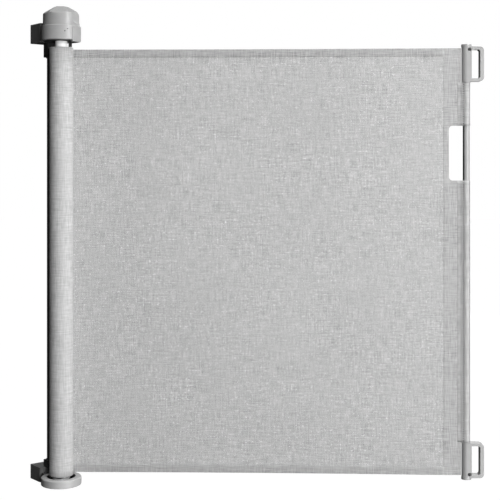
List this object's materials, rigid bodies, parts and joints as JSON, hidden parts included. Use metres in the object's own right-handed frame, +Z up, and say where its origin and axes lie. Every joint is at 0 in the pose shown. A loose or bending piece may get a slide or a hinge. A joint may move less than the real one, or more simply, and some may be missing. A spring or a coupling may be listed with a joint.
{
  "type": "retractable baby gate",
  "caption": "Retractable mesh baby gate: a wall-held spring roller with a press-and-turn lock knob, a mesh sheet, and a handle rod with two catch loops.",
  "frame": {"origin": "on the roller's axis, at the underside of the bottom cup", "axes": "+Z up along the roller; +X from the roller towards the handle, along the pulled-out mesh; the front faces -Y"},
  "size_m": [0.8988, 0.116, 0.9384],
  "materials": {
    "grey_plastic": "fine moulded satin texture",
    "dark_plastic": "fine moulded satin texture",
    "mesh_fabric": "fine woven polyester mesh",
    "white_nylon": "smooth nylon",
    "steel": "zinc plated",
    "painted_steel": "powder coat",
    "rod_coating": "powder coat",
    "tube_aluminium": "mill finish"
  },
  "bodies": {
    "base": {"upper_wall_block": "dark_plastic", "lower_wall_block": "dark_plastic", "rear_spine": "painted_steel", "upper_spine_clamp": "dark_plastic", "lower_spine_clamp": "dark_plastic", "spine_screws": "steel", "clamp_screws": "steel", "housing_fixing_screws": "steel", "cup_fixing_screws": "steel", "lock_housing": "grey_plastic", "housing_floor_plate": "dark_plastic", "floor_plate_screws": "steel", "upper_bearing_bush": "white_nylon", "pawl_pin": "steel", "bottom_cup": "grey_plastic", "spring_arbor": "steel", "thrust_washer": "white_nylon", "arbor_spring_collar": "white_nylon", "mesh_panel": "mesh_fabric", "knob_return_spring": "steel"},
    "roll": {"core_tube": "tube_aluminium", "wound_mesh": "mesh_fabric", "mesh_key_strip": "white_nylon", "upper_end_plug": "white_nylon", "lower_end_plug": "white_nylon", "tube_screws": "steel", "spring_drive_plug": "white_nylon", "roller_spring": "steel", "ratchet_wheel": "white_nylon", "ratchet_screw": "steel"},
    "plunger": {"lock_plunger": "white_nylon"},
    "knob": {"lock_knob": "grey_plastic", "knob_stem": "steel", "cam_plate": "white_nylon", "cam_screw": "steel"},
    "pawl": {"lock_pawl": "white_nylon"},
    "handle": {"mesh_band": "mesh_fabric", "upper_rod_sleeve": "mesh_fabric", "lower_rod_sleeve": "mesh_fabric", "handle_rod": "rod_coating", "rod_end_plugs": "white_nylon", "upper_end_clip": "grey_plastic", "lower_end_clip": "grey_plastic", "clip_screws": "steel"}
  },
  "joints": [
    {"name": "panel_slide", "type": "slide", "parent": "base", "child": "handle", "axis": [1, 0, 0], "range_m": [-0.71982, 0], "deforming": ["mesh_panel"]},
    {"name": "roll_spin", "type": "hinge", "parent": "base", "child": "roll", "pos_m": [0, 0, 0.4], "axis": [0, 0, 1], "range_deg": [-1, 1760], "deforming": ["roller_spring"]},
    {"name": "knob_press", "type": "slide", "parent": "base", "child": "plunger", "axis": [0, 0, 1], "range_m": [-0.005, 0], "stiffness_N_per_m": 700, "springref_m": 0.004, "deforming": ["knob_return_spring"]},
    {"name": "knob_turn", "type": "hinge", "parent": "plunger", "child": "knob", "pos_m": [0, 0, 0.92], "axis": [0, 0, 1], "range_deg": [0, 90]},
    {"name": "pawl_swing", "type": "hinge", "parent": "base", "child": "pawl", "pos_m": [0.02079, -0.012, 0.877], "axis": [0, 0, 1], "range_deg": [0, 12]}
  ],
  "couplings": [
    {"joint": "roll_spin", "follows": "panel_slide", "rad_per_m": -42.553},
    {"joint": "pawl_swing", "follows": "knob_turn", "ratio": 0.13333}
  ]
}
